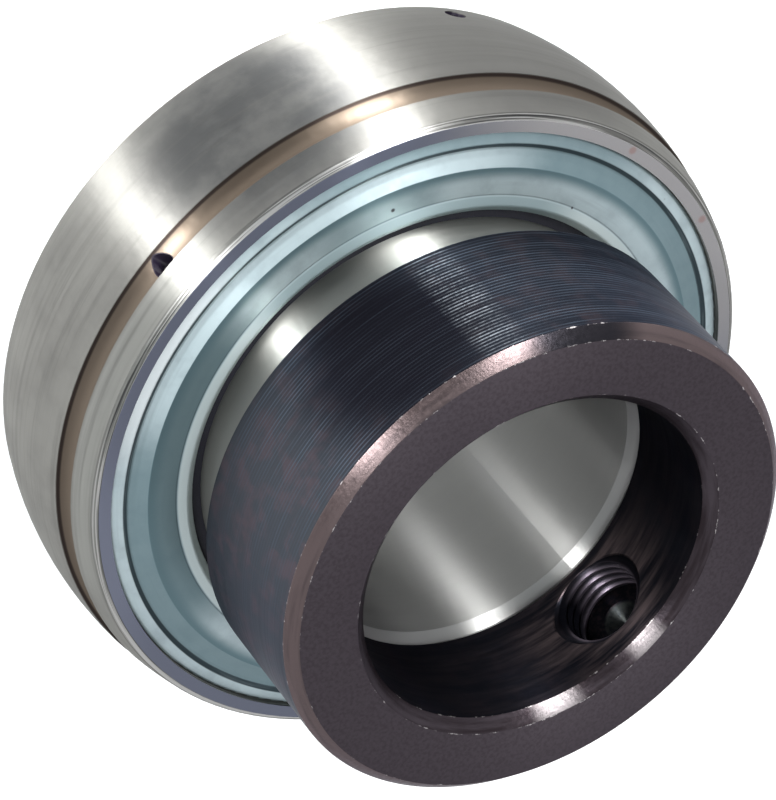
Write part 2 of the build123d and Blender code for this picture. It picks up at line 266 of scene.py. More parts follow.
class Nodes:
    """The nodes of a material or the world, with short calls for those that are shared."""

    def __init__(self, owner):
        self.owner = owner
        owner.use_nodes = True
        self.tree = owner.node_tree
        self.tree.nodes.clear()

    def node(self, kind, inputs=None, **settings):
        """Add a node, set its options and join or set its inputs."""
        made = self.tree.nodes.new(kind)
        for option, value in settings.items():
            setattr(made, option, value)
        for socket, value in (inputs or {}).items():
            if isinstance(value, bpy.types.NodeSocket):
                self.tree.links.new(value, made.inputs[socket])
            elif made.inputs[socket].type == "RGBA":
                made.inputs[socket].default_value = (*value[:3], 1.0)
            else:
                made.inputs[socket].default_value = value
        return made

    def math(self, operation, first, second=0.0):
        """One sum of two numbers."""
        return self.node("ShaderNodeMath", {0: first, 1: second}, operation=operation).outputs[0]

    def hypot(self, first, second):
        """Length of the long side over two short ones."""
        squares = self.math("ADD", self.math("POWER", first, 2), self.math("POWER", second, 2))
        return self.math("SQRT", squares)

    def fade(self, value, start, end, low=0.0, high=1.0):
        """Go smoothly from low to high as a value goes from start to end."""
        inputs = {"Value": value, "From Min": start, "From Max": end, "To Min": low, "To Max": high}
        return self.node("ShaderNodeMapRange", inputs, interpolation_type="SMOOTHSTEP").outputs[0]

    def above(self, value, limit, soft):
        """One from a limit up, with a soft rise just before it."""
        return self.fade(value, limit - soft, limit)

    def below(self, value, limit, soft):
        """One up to a limit, with a soft fall just past it."""
        return self.fade(value, limit, limit + soft, 1.0, 0.0)

    def band(self, value, low, high, soft):
        """One inside a band of a value and nothing outside, with soft sides."""
        rise = self.fade(value, low - soft, low + soft)
        fall = self.fade(value, high - soft, high + soft, 1.0, 0.0)
        return self.math("MULTIPLY", rise, fall)

    def both(self, first, *others):
        """Several numbers multiplied: where all masks hold, or a mask at a strength."""
        for other in others:
            first = self.math("MULTIPLY", first, other)
        return first

    def less(self, first, second):
        """The first number less the second."""
        return self.math("SUBTRACT", first, second)

    def mix(self, factor, first, second):
        """Blend two colours."""
        return self.node("ShaderNodeMix", {0: factor, 6: first, 7: second}, data_type="RGBA").outputs[2]

    def blend(self, factor, first, second):
        """Blend two numbers."""
        return self.node("ShaderNodeMix", {0: factor, 2: first, 3: second}, data_type="FLOAT").outputs[0]


class Finish(Nodes):
    """A material whose patterns follow the object's own places."""

    def __init__(self, name):
        super().__init__(bpy.data.materials.new(name))
        self.place = self.node("ShaderNodeTexCoord").outputs["Object"]
        self.x, self.y, self.height = self.node("ShaderNodeSeparateXYZ", {0: self.place}).outputs
        self.radius = self.hypot(self.x, self.y)

    def from_circle(self, radius, height):
        """Distance to a circle round the shaft."""
        return self.hypot(self.less(self.radius, radius), self.less(self.height, height))

    def from_screw(self, sizes):
        """Distance to the set screw's axis."""
        return self.hypot(self.y, self.less(self.height, sizes.screw_height))

    def spot(self, degrees, radius, height, reach, strength=1.0):
        """Full strength at a point given by its angle, radius and height, and nothing past its reach."""
        turn = math.radians(degrees)
        point = (radius * math.cos(turn), radius * math.sin(turn), height)
        away = self.node("ShaderNodeVectorMath", {0: self.place, 1: point}, operation="DISTANCE").outputs[1]
        return self.fade(away, 0.4 * reach, reach, strength, 0.0)

    def facing(self, degrees):
        """One at an angle round the shaft, falling to minus one on the opposite side."""
        turn = math.radians(degrees)
        along_x = self.math("MULTIPLY", self.x, math.cos(turn))
        along_y = self.math("MULTIPLY", self.y, math.sin(turn))
        return self.math("DIVIDE", self.math("ADD", along_x, along_y), self.radius)

    def arc(self, middle, half, soft, strength=1.0):
        """Full strength in a stretch round the shaft, with soft ends, all in degrees."""
        start, end = (math.cos(math.radians(half + step)) for step in (soft, -soft))
        return self.fade(self.facing(middle), start, end, 0.0, strength)

    def noise(self, per_mm, detail=3.0, roughness=0.55):
        """Cloudy noise with a number of lumps to the millimetre."""
        inputs = {"Vector": self.place, "Scale": per_mm / MM, "Detail": detail, "Roughness": roughness}
        return self.node("ShaderNodeTexNoise", inputs).outputs[0]

    def lathe_lines(self, per_mm, drift=0.6, detail=2.0):
        """Noise that runs round the shaft in lines, with a number of lines to the millimetre."""
        across = self.math("MULTIPLY", self.radius, per_mm / MM)
        along = self.math("MULTIPLY", self.height, per_mm / MM)
        cosine = self.math("MULTIPLY", self.facing(0), drift)
        sine = self.math("MULTIPLY", self.facing(90), drift)
        vector = self.node("ShaderNodeCombineXYZ", {0: across, 1: along, 2: cosine}).outputs[0]
        inputs = {"Vector": vector, "W": sine, "Scale": 1.0, "Detail": detail, "Roughness": 0.6}
        return self.node("ShaderNodeTexNoise", inputs, noise_dimensions="4D").outputs[0]

    def bump(self, height, depth, below=None):
        """Raise the surface by a depth in metres, over an earlier bump."""
        inputs = {"Height": height, "Strength": 1.0, "Distance": depth}
        if below is not None:
            inputs["Normal"] = below
        return self.node("ShaderNodeBump", inputs).outputs[0]

    def brushed(self, strength):
        """The inputs that stretch highlights across lines that run round the shaft."""
        tangent = self.node("ShaderNodeTangent", direction_type="RADIAL", axis="Z").outputs[0]
        return {"Anisotropic": strength, "Anisotropic Rotation": 0.25, "Tangent": tangent}

    def surface(self, inputs):
        """Join the surface to the material's output."""
        shader = self.node("ShaderNodeBsdfPrincipled", inputs)
        self.node("ShaderNodeOutputMaterial", {"Surface": shader.outputs[0]})
        return self.owner


def ground_steel(colours, sizes):
    """Ground bearing steel: satin, with fine grinding lines round the shaft."""
    made = Finish("ground_steel")
    fine = made.lathe_lines(per_mm=9.0)
    coarse = made.lathe_lines(per_mm=2.0, drift=1.5)
    turned = made.lathe_lines(per_mm=5.0, drift=1.6, detail=3.0)
    cloud = made.noise(per_mm=0.2, detail=6.0)
    outer_ring = made.above(made.radius, sizes.shoulder, SOFT)
    sunk = made.below(made.hypot(made.radius, made.height), ring_skin - SOFT, 0.06 * MM)

    # The ground skin with its duller patches, painted shade and painted light in stretches, and the inner
    # ring's land and bore
    tone = made.mix(made.fade(cloud, 0.35, 0.75, 0.0, 0.5), colours.ground_steel, colours.dull_steel_and_painted_shade)
    # Painted shade: a dark patch on the outer ring between its two highlights
    film = made.both(made.spot(*RING_SHADE_SPOT), made.fade(cloud, 0.3, 0.6, 0.55, 0.8))
    tone = made.mix(film, tone, colours.ring_painted_shade)
    # Painted shade: a second darker patch on the outer ring
    tone = made.mix(made.spot(*RING_SHADE_PATCH), tone, colours.dull_steel_and_painted_shade)
    # Painted light: a lighter stretch of the ring above the groove, on one side
    bright = made.both(made.above(made.height, RING_PAINTED_LIGHT_HEIGHT, 0.5 * MM), made.arc(*RING_PAINTED_LIGHT))
    tone = made.mix(bright, tone, colours.land_steel_and_painted_light)
    tone = made.mix(made.fade(coarse, 0.5, 0.8, 0.0, 0.4), tone, colours.dull_steel_and_painted_shade)
    tone = made.mix(made.below(made.radius, sizes.land_reach, SOFT), tone, colours.land_steel_and_painted_light)
    tone = made.mix(made.below(made.radius, sizes.bevel_reach, SOFT), tone, colours.bore_steel)

    # The grease groove with its dark edges, and painted shade in its hole and in the drilled mark
    low, high = sizes.groove_height - sizes.groove_half, sizes.groove_height + sizes.groove_half
    groove = made.both(made.band(made.height, low, high, 0.03 * MM), sunk, outer_ring)
    tone = made.mix(made.both(groove, 0.9), tone, colours.groove_brown)
    off_middle = made.less(made.height, sizes.groove_height)
    edge = made.above(made.math("ABSOLUTE", off_middle), sizes.groove_line, 0.08 * MM)
    edge = made.both(groove, edge, made.fade(coarse, 0.2, 0.5, 0.6, 1.0))
    tone = made.mix(edge, tone, colours.groove_edge)
    # Painted shade: the grease hole is coloured near black and matt
    sideways = made.less(made.both(made.y, math.cos(sizes.grease_hole_angle)),
                         made.both(made.x, math.sin(sizes.grease_hole_angle)))
    hole = made.below(made.hypot(sideways, off_middle), sizes.grease_hole_radius, 0.06 * MM)
    hole = made.both(hole, outer_ring, made.below(made.x, -MM, MM))
    tone = made.mix(hole, tone, colours.grease)
    # Painted shade: the drilled mark is coloured near black and matt
    dimple = Spot(math.degrees(sizes.dimple_angle), ring_skin - MM, sizes.dimple_height, sizes.dimple_reach)
    dimple = made.both(made.spot(*dimple), sunk)
    tone = made.mix(dimple, tone, colours.grease)

    # The end faces with their smudges and a painted paler stretch, and the turned corners
    from_middle = made.math("ABSOLUTE", made.height)
    face = made.both(made.above(from_middle, ring_end - SHARP, CRISP), outer_ring)
    # Painted light: the end faces paler over a stretch round the shaft
    tone = made.mix(face, tone, made.mix(made.arc(*FACE_PAINTED_LIGHT), colours.face_blue, colours.face_painted_light))
    for smudge in SMUDGES:
        tone = made.mix(made.spot(*smudge), tone, colours.smudge)
    corner = made.band(from_middle, sizes.corner_height, ring_end - CRISP, SHARP)
    corner = made.both(corner, outer_ring, sunk)
    tone = made.mix(made.both(corner, made.fade(turned, 0.38, 0.46, 1.0, 0.0)), tone, colours.corner_dark)
    tone = made.mix(made.both(corner, made.fade(turned, 0.48, 0.56)), tone, colours.corner_light)

    painted_hole_shade = made.math("ADD", hole, dimple)
    metal = made.both(made.fade(face, 0.0, 1.0, 1.0, 0.55), made.fade(painted_hole_shade, 0.0, 1.0, 1.0, 0.0))
    rough = made.fade(coarse, 0.2, 0.8, 0.38, 0.46)
    rough = made.blend(face, rough, 0.2)
    rough = made.blend(groove, rough, 0.4)
    normal = made.bump(fine, 0.0012 * MM)
    normal = made.bump(coarse, 0.002 * MM, normal)
    normal = made.bump(made.noise(per_mm=0.7, detail=5.0), 0.014 * MM, normal)
    normal = made.bump(made.both(turned, corner), 0.05 * MM, normal)
    return made.surface({
        "Base Color": tone, "Metallic": metal, "Roughness": rough, "Normal": normal,
        "Specular Tint": (0.7, 0.7, 0.7), **made.brushed(1.0),
    })


def zinc_plate(colours, sizes):
    """Bright zinc on pressed sheet, faintly mottled and scuffed, with painted shade in its creases and
    painted light and shade in stretches round the shaft.
    """
    made = Finish("zinc_plate")
    cloud = made.noise(per_mm=0.4, detail=6.0)
    spangle = made.noise(per_mm=5.0, detail=3.0)
    streak = made.lathe_lines(per_mm=2.0, drift=3.0, detail=4.0)
    inside_rim = made.fade(made.radius, sizes.crease - 0.2 * MM, sizes.crease, 1.0, 0.0)
    inside_slope = made.fade(made.radius, sizes.plateau_edge - SOFT, sizes.plateau_edge, 1.0, 0.0)
    ridge = made.fade(made.radius, sizes.ridge_foot - 0.2 * MM, sizes.ridge_foot, 1.0, 0.0)
    rim = made.less(1.0, inside_rim)
    slope = made.less(inside_rim, inside_slope)
    plateau = made.less(inside_slope, ridge)
    front = made.fade(made.height, 0, MM)

    tone = made.mix(made.fade(cloud, 0.4, 0.8), colours.zinc, colours.zinc_shade)
    tone = made.mix(made.fade(streak, 0.5, 0.8, 0.0, 0.6), tone, colours.zinc_shade)
    # Painted light: the ridge round the opening made paler
    tone = made.mix(ridge, tone, colours.zinc_ridge_painted_light)
    # Painted shade: darker along the plateau's outer edge
    edge = made.both(made.fade(made.radius, sizes.plateau_edge - 1.3 * MM, sizes.plateau_edge - SOFT),
                     made.below(made.radius, sizes.plateau_edge, 0.05 * MM))
    tone = made.mix(edge, tone, colours.zinc_painted_shade)
    # Painted shade in stretches round the shaft on the rim, the plateau and the ridge, and on the slope
    # everywhere but one lit stretch
    for zone, stretch in (
        (rim, made.arc(*RIM_SHADE)),
        (slope, made.less(SLOPE_LIT.strength, made.arc(*SLOPE_LIT))),
        (plateau, made.arc(*PLATEAU_SHADE)),
        (plateau, made.arc(*PLATEAU_SHADE_AT_HIGHLIGHT)),
        (ridge, made.arc(*RIDGE_SHADE)),
    ):
        tone = made.mix(made.both(zone, stretch, front), tone, colours.zinc_painted_shade)
    # Painted highlight: a bright stretch of the rolled rim
    tone = made.mix(made.both(rim, made.arc(*RIM_HIGHLIGHT), front), tone, colours.zinc_painted_highlight)
    # Painted shade: dark lines in the crease inside the rim and at the foot of the ridge
    crease = made.band(made.radius, sizes.crease - 0.20 * MM, sizes.crease + 0.20 * MM, 0.05 * MM)
    foot = made.band(made.radius, sizes.ridge_foot - 0.06 * MM, sizes.ridge_foot + 0.06 * MM, 0.06 * MM)
    crease_shade = made.math("ADD", crease, made.both(foot, 0.6))
    tone = made.mix(made.both(crease_shade, made.fade(streak, 0.2, 0.5, 0.6, 1.0)), tone, colours.crease_shade)
    for nick in NICKS:
        tone = made.mix(made.spot(*nick), tone, colours.nick)
    return made.surface({
        "Base Color": tone, "Metallic": 0.8, "Roughness": made.fade(spangle, 0.3, 0.7, 0.33, 0.40),
        "Normal": made.bump(cloud, 0.006 * MM), **made.brushed(0.8),
    })


def black_oxide(colours, sizes):
    """Oiled black oxide over turned steel, thin on the bevels and rubbed bare at the edges."""
    made = Finish("black_oxide")
    lines = made.lathe_lines(per_mm=6.0)
    streak = made.lathe_lines(per_mm=1.2, drift=2.0, detail=4.0)
    cloud = made.noise(per_mm=0.5, detail=6.0)
    speck = made.noise(per_mm=3.0, detail=5.0)
    outer, bore, face, bevel = sizes.collar_radius, sizes.collar_bore, sizes.collar_face, sizes.front_bevel

    # The side: a worn stretch, a spot of painted shade, crests with a painted sheen that grows towards one
    # side, and a painted highlight on the crests at one place
    side = made.above(made.radius, outer - 0.04 * MM, SHARP)
    # Painted shade: a dark spot on the side
    oil = made.both(made.spot(*SIDE_SHADE_SPOT), side)
    crest = made.math("SINE", made.both(made.height, math.tau / sizes.feed_pitch))
    crest = made.both(made.fade(crest, 0.2, 1.0), made.fade(streak, 0.3, 0.7), side)
    # Painted sheen: the crests lighter towards one side
    shine = made.fade(made.facing(SIDE_SHINE_DEGREES), 0.0, 0.8, 0.3, 1.0)
    shine = made.both(crest, made.fade(oil, 0.0, 1.0, 1.0, 0.2), shine)
    # Painted highlight: bright crests in a narrow stretch
    bare = made.both(crest, made.arc(*SIDE_HIGHLIGHT), made.fade(speck, 0.3, 0.7, 0.2, 1.0))
    worn = made.mix(made.fade(cloud, 0.45, 0.65), colours.oxide_worn, colours.oxide_face)
    tone = made.mix(made.fade(cloud, 0.40, 0.75, 0.0, 0.7), colours.oxide, colours.oxide_purple)
    tone = made.mix(made.both(side, made.arc(*SIDE_WORN)), tone, worn)
    tone = made.mix(oil, tone, colours.oxide_painted_shade)
    tone = made.mix(shine, tone, colours.oxide_crest_and_sheen)
    tone = made.mix(bare, tone, colours.crest_painted_highlight)

    # The bore's wall, streaked brown away from the threaded hole, and the thread, with painted shade on one
    # side of it
    wall = made.below(made.radius, bore + 0.05 * MM, 0.05 * MM)
    from_hole = made.from_screw(sizes)
    tone = made.mix(made.both(wall, 0.6), tone, colours.rubber)
    rubbed = made.both(wall, made.fade(from_hole, *WALL_RUBBED, 1.0, 0.1), made.fade(streak, 0.35, 0.7))
    tone = made.mix(rubbed, tone, colours.wall_brown)
    root = sizes.hole_radius + sizes.thread_depth
    thread = made.both(made.below(from_hole, root + 2 * SOFT, SOFT), made.above(made.x, MM, MM),
                       made.above(made.radius, bore + 3 * SOFT, 2 * SOFT))
    burnished = made.fade(from_hole, sizes.hole_radius + 0.03 * MM, sizes.hole_radius + 3 * SOFT, 1.0, 0.1)
    tone = made.mix(made.both(thread, burnished), tone, colours.oxide_thread)
    # Painted shade: the thread darkened on one side
    tone = made.mix(made.both(thread, made.spot(*THREAD_SHADE)), tone, colours.oxide_painted_shade)

    # The front face and its two bevels, with painted shade on a stretch of the outer bevel and painted
    # highlights on the inner one
    flat = made.above(made.height, face - CRISP, CRISP)
    near_face = made.band(made.height, face - bevel, face - CRISP, SHARP)
    outside = made.both(near_face, made.above(made.radius, outer - bevel, CRISP))
    inside = made.both(near_face, made.below(made.radius, bore + bevel, CRISP))
    flat_tone = made.mix(made.fade(speck, 0.35, 0.7, 0.0, 0.35), colours.oxide_face, colours.oxide_purple)
    outside_tone = made.mix(made.fade(streak, 0.45, 0.80, 0.0, 0.6), colours.copper, colours.oxide)
    inside_tone = made.mix(made.fade(streak, 0.3, 0.65), colours.oxide_face, colours.oxide_purple)
    tone = made.mix(flat, tone, flat_tone)
    tone = made.mix(outside, tone, outside_tone)
    # Painted shade: a darker stretch of the outer bevel
    tone = made.mix(made.both(outside, made.arc(*BEVEL_SHADE)), tone, colours.oxide)
    tone = made.mix(inside, tone, inside_tone)
    # Painted highlights: two bright stretches of the bevel round the bore
    for stretch in BEVEL_HIGHLIGHTS:
        tone = made.mix(made.both(inside, made.arc(*stretch)), tone, colours.bevel_painted_highlight)

    # Bare steel along the four edges of the bevels, with a ragged outline
    ragged = made.both(made.noise(per_mm=1.6, detail=6.0, roughness=0.7), EDGE_RAGGED)
    edges = ((outer - bevel, face), (outer, face - bevel), (bore + bevel, face), (bore, face - bevel))
    for radius, height in edges:
        away = made.math("ADD", made.from_circle(radius, height), ragged)
        bare = made.both(made.below(away, EDGE_WEAR, 0.06 * MM), made.fade(cloud, 0.46, 0.54))
        tone = made.mix(bare, tone, colours.bare_edge)

    bevels = made.math("ADD", outside, inside)
    rough = made.fade(lines, 0.2, 0.8, 0.28, 0.40)
    rough = made.blend(flat, rough, 0.42)
    rough = made.blend(bevels, rough, made.fade(speck, 0.3, 0.7, 0.28, 0.40))
    normal = made.bump(lines, 0.003 * MM)
    normal = made.bump(speck, 0.004 * MM, normal)
    normal = made.bump(made.both(speck, bevels), 0.012 * MM, normal)
    normal = made.bump(made.both(streak, bevels), 0.03 * MM, normal)
    return made.surface({
        "Base Color": tone, "Metallic": 0.9, "Roughness": rough, "Normal": normal,
        "Specular Tint": (0.45, 0.46, 0.50), **made.brushed(0.7),
    })


def screw_steel(colours, sizes):
    """Oiled black oxide on the set screw, worn bright in its cup."""
    made = Finish("screw_steel")
    speck = made.noise(per_mm=2.5, detail=5.0)
    tone = made.mix(made.fade(speck, 0.4, 0.7), colours.oxide, colours.oxide_purple)
    near_tip = made.below(made.x, screw_low.x + 1.1 * sizes.cup_depth, 0.1 * sizes.cup_depth)
    near_axis = made.below(made.from_screw(sizes), 0.9 * sizes.cup_radius, 0.1 * sizes.cup_radius)
    cup = made.both(near_axis, near_tip, made.fade(speck, 0.3, 0.6, 0.4, 1.0))
    return made.surface({
        "Base Color": made.mix(cup, tone, colours.cup_steel), "Metallic": 0.9,
        "Roughness": made.fade(speck, 0.3, 0.7, 0.28, 0.42), "Normal": made.bump(speck, 0.003 * MM),
    })


def seal_rubber(colours):
    """Matt nitrile rubber."""
    made = Finish("seal_rubber")
    grain = made.noise(per_mm=6.0, detail=4.0)
    return made.surface({
        "Base Color": made.mix(grain, colours.rubber, [2 * part for part in colours.rubber]),
        "Roughness": made.fade(grain, 0.3, 0.7, 0.5, 0.7), "Normal": made.bump(grain, 0.01 * MM),
    })


def polished_steel(colours):
    """Polished balls."""
    made = Finish("polished_steel")
    cloud = made.noise(per_mm=1.0, detail=4.0)
    return made.surface({
        "Base Color": made.mix(made.fade(cloud, 0.4, 0.7, 0.0, 0.3), colours.ball, colours.sheet),
        "Metallic": 1.0, "Roughness": made.fade(cloud, 0.3, 0.7, 0.06, 0.14),
    })


def pressed_sheet(colours):
    """Pressed cage steel under a film of grease."""
    made = Finish("pressed_sheet")
    cloud = made.noise(per_mm=1.2, detail=5.0)
    return made.surface({
        "Base Color": made.mix(made.fade(cloud, 0.4, 0.7, 0.0, 0.6), colours.sheet, colours.dull_steel_and_painted_shade),
        "Metallic": 1.0, "Roughness": made.fade(cloud, 0.3, 0.7, 0.25, 0.4),
        "Normal": made.bump(cloud, 0.01 * MM),
    })


def deselect():
    """Leave edit mode and let every object go."""
    if bpy.context.object and bpy.context.object.mode != "OBJECT":
        bpy.ops.object.mode_set(mode="OBJECT")
    bpy.ops.object.select_all(action="DESELECT")


def select_only(piece):
    """Select one object, make it the active one and let the others go."""
    deselect()
    piece.select_set(True)
    bpy.context.view_layer.objects.active = piece


def draw_line(name, corners):
    """Extrude a line through (radius, height) corners from a single point."""
    deselect()
    bpy.ops.mesh.primitive_plane_add(size=MM, location=(0, 0, 0))
    piece = bpy.context.object
    piece.name = name
    bpy.ops.object.mode_set(mode="EDIT")
    bpy.ops.mesh.select_all(action="SELECT")
    bpy.ops.mesh.merge(type="CENTER")
    bpy.ops.transform.translate(value=(corners[0][0], 0, corners[0][1]))
    for here, there in zip(corners, corners[1:]):
        step = (there[0] - here[0], 0, there[1] - here[1])
        bpy.ops.mesh.extrude_region_move(TRANSFORM_OT_translate={"value": step})
    return piece


def turned_piece(name, corners, steps):
    """Draw a closed outline of (radius, height) corners and spin it round the shaft."""
    piece = draw_line(name, [*corners, corners[0]])
    bpy.ops.mesh.select_all(action="SELECT")
    bpy.ops.mesh.spin(steps=steps, angle=math.tau, center=(0, 0, 0), axis=(0, 0, 1))
    bpy.ops.mesh.select_all(action="SELECT")
    bpy.ops.mesh.remove_doubles(threshold=WELD)
    bpy.ops.mesh.normals_make_consistent(inside=False)
    bpy.ops.object.mode_set(mode="OBJECT")
    return piece


def add_modifier(piece, kind, **settings):
    """Add a modifier with its settings and apply it."""
    select_only(piece)
    made = piece.modifiers.new(kind.lower(), kind)
    for option, value in settings.items():
        setattr(made, option, value)
    bpy.ops.object.modifier_apply(modifier=made.name)


def place(piece, matrix):
    """Put a piece where a matrix says, with the place applied to its mesh."""
    select_only(piece)
    piece.matrix_world = matrix
    bpy.ops.object.transform_apply(location=True, rotation=True, scale=True)


def combine(piece, other, operation):
    """Cut a solid with another, or keep what both share, and throw the other away."""
    add_modifier(piece, "BOOLEAN", operation=operation, solver="EXACT", object=other)
    bpy.data.objects.remove(other, do_unlink=True)


def close_end(piece, top):
    """Draw the open edge at one end of a bar together to a point."""
    middle = sum(vertex.co.z for vertex in piece.data.vertices) / len(piece.data.vertices)
    bpy.ops.object.mode_set(mode="EDIT")
    bpy.ops.mesh.select_mode(type="EDGE")
    bpy.ops.mesh.select_all(action="DESELECT")
    bpy.ops.mesh.select_non_manifold()
    bpy.ops.object.mode_set(mode="OBJECT")
    for edge in piece.data.edges:
        first, last = (piece.data.vertices[end] for end in edge.vertices)
        edge.select = edge.select and (first.co.z + last.co.z > 2 * middle) == top
    bpy.ops.object.mode_set(mode="EDIT")
    bpy.ops.mesh.extrude_edges_move()
    bpy.ops.mesh.merge(type="CENTER")
    bpy.ops.object.mode_set(mode="OBJECT")


def thread_outline(shares, crest, root, pitch, middle=0.0):
    """One pitch of a thread as (radius, height) corners."""
    radii = {"crest": crest, "root": root}
    return [(radii[part], middle * pitch + share * pitch) for part, share in shares]


def threaded_bar(name, corners, pitch, turns, steps):
    """Wind one pitch of a thread's outline, as (radius, height) corners, into a closed bar along Z."""
    piece = draw_line(name, corners)
    bpy.ops.object.mode_set(mode="OBJECT")
    add_modifier(piece, "SCREW", axis="Z", angle=math.tau, screw_offset=pitch, iterations=turns, steps=steps,
                 render_steps=steps)
    add_modifier(piece, "WELD", merge_threshold=WELD)
    close_end(piece, top=False)
    close_end(piece, top=True)
    bpy.ops.object.mode_set(mode="EDIT")
    bpy.ops.mesh.select_mode(type="VERT")
    bpy.ops.mesh.select_all(action="SELECT")
    bpy.ops.mesh.normals_make_consistent(inside=False)
    bpy.ops.object.mode_set(mode="OBJECT")
    return piece


def cylinder(radius, low, high, steps):
    """A plain round bar along Z, from one height to another."""
    deselect()
    middle = (0, 0, (low + high) / 2)
    bpy.ops.mesh.primitive_cylinder_add(vertices=steps, radius=radius, depth=high - low, location=middle)
    piece = bpy.context.object
    place(piece, piece.matrix_world.copy())
    return piece


def cone(low_radius, high_radius, low, high, steps):
    """A round taper along Z, from one height to another."""
    deselect()
    middle = (0, 0, (low + high) / 2)
    bpy.ops.mesh.primitive_cone_add(
        vertices=steps, radius1=low_radius, radius2=high_radius, depth=high - low, location=middle
    )
    piece = bpy.context.object
    place(piece, piece.matrix_world.copy())
    return piece


def outwards(height, turn=0.0):
    """Turn a bar that stands along Z so that it points out from the shaft at a height and angle."""
    lay_down = Matrix.Rotation(math.pi / 2, 4, "Y")
    return Matrix.Rotation(turn, 4, "Z") @ Matrix.Translation((0, 0, height)) @ lay_down


def dress(names, material):
    """Give CAD nodes their finish."""
    for name in names:
        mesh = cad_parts[name].data
        mesh.materials.clear()
        mesh.materials.append(material)


def complete(piece, material):
    """Give a new piece its finish and smooth its round faces."""
    piece.data.materials.clear()
    piece.data.materials.append(material)
    select_only(piece)
    bpy.ops.object.shade_smooth_by_angle(angle=SMOOTH_BELOW)


class BEARING_OT_rings(bpy.types.Operator):
    """Finish the ground outer and inner rings"""

    bl_idname = "bearing.rings"
    bl_label = "Ground rings"

    def execute(self, context):
        scene = context.scene
        dress(["outer_ring", "inner_ring"], ground_steel(scene.bearing_colours, scene.bearing_sizes))
        return {"FINISHED"}


class BEARING_OT_seals(bpy.types.Operator):
    """Finish the shields, rubber lips and backing washers"""

    bl_idname = "bearing.seals"
    bl_label = "Seals"

    def execute(self, context):
        colours = context.scene.bearing_colours
        zinc, rubber = zinc_plate(colours, context.scene.bearing_sizes), seal_rubber(colours)
        for side in ("collar_side", "far_side"):
            dress([f"{side}_shield", f"{side}_backing_washer"], zinc)
            dress([f"{side}_rubber_lip"], rubber)
        return {"FINISHED"}


class BEARING_OT_rollers(bpy.types.Operator):
    """Finish the balls, the cage and its rivets"""

    bl_idname = "bearing.rollers"
    bl_label = "Balls and cage"

    def execute(self, context):
        colours = context.scene.bearing_colours
        dress([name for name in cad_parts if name.startswith("ball_")], polished_steel(colours))
        dress([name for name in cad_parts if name.startswith("cage_")], pressed_sheet(colours))
        return {"FINISHED"}


class BEARING_OT_collar(bpy.types.Operator):
    """Turn the locking collar, with its feed grooves, threaded hole and drift hole"""

    bl_idname = "bearing.collar"
    bl_label = "Locking collar"

    def execute(self, context):
        sizes = context.scene.bearing_sizes
        collar = turned_piece("collar_turned", self.outline(sizes), sizes.turn_steps)
        add_modifier(collar, "BEVEL", width=sizes.edge_round, segments=2, limit_method="ANGLE",
                     angle_limit=TURNED_EDGE)
        self.cut_recess(collar, sizes)
        self.cut_drift_hole(collar, sizes)
        self.cut_screw_hole(collar, sizes)
        complete(collar, black_oxide(context.scene.bearing_colours, sizes))
        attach(collar, "locking_collar")
        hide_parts("locking_collar")
        return {"FINISHED"}

    def outline(self, sizes):
        """The collar's section, with a shallow groove for each turn of the lathe's feed."""
        outer, bore, bevel = sizes.collar_radius, sizes.collar_bore, sizes.front_bevel
        rear, face = sizes.collar_rear, sizes.collar_face
        low, high = rear + sizes.rear_bevel, face - bevel
        grooves = round((high - low) / sizes.feed_pitch)
        corners = [(bore, rear), (outer - sizes.rear_bevel, rear)]
        for number in range(grooves):
            foot = low + (high - low) * number / grooves
            middle = low + (high - low) * (number + 0.5) / grooves
            corners += [(outer, foot), (outer - sizes.feed_depth, middle)]
        return corners + [(outer, high), (outer - bevel, face), (bore + bevel, face), (bore, face - bevel)]

    def cut_recess(self, collar, sizes):
        """Cut the eccentric recess that fits over the inner ring's cam."""
        recess = cylinder(sizes.recess_radius, sizes.collar_rear - MM, sizes.recess_top, sizes.turn_steps)
        place(recess, Matrix.Translation((0, sizes.recess_offset, 0)))
        combine(collar, recess, "DIFFERENCE")

    def cut_drift_hole(self, collar, sizes):
        """Cut the blind hole by which the collar is driven tight."""
        outer = sizes.collar_radius
        drift = cylinder(sizes.drift_radius, outer - sizes.drift_depth, outer + MM, sizes.thread_steps)
        place(drift, outwards(sizes.screw_height, sizes.drift_angle))
        combine(collar, drift, "DIFFERENCE")

    def cut_screw_hole(self, collar, sizes):
        """Tap the set screw's hole and countersink both of its ends."""
        outer, bore, mouth = sizes.collar_radius, sizes.collar_bore, sizes.mouth
        crest, root = sizes.hole_radius, sizes.hole_radius + sizes.thread_depth
        pitch, start, steps = sizes.thread_pitch, sizes.thread_start, sizes.thread_steps
        turns = math.ceil((outer + MM - start) / pitch) + 1
        tap = threaded_bar("tap", thread_outline(TAP_THREAD, crest, root, pitch), pitch, turns, steps)
        place(tap, outwards(sizes.screw_height) @ Matrix.Translation((0, 0, start)))
        combine(collar, tap, "DIFFERENCE")
        spare = 0.2 * MM
        deep = 4 * spare
        for sink in (
            cone(crest, root + 2 * spare, outer - (root + spare - crest), outer + spare, steps),
            cone(crest + mouth + deep, crest, bore - deep, bore + mouth, steps),
        ):
            place(sink, outwards(sizes.screw_height))
            combine(collar, sink, "DIFFERENCE")


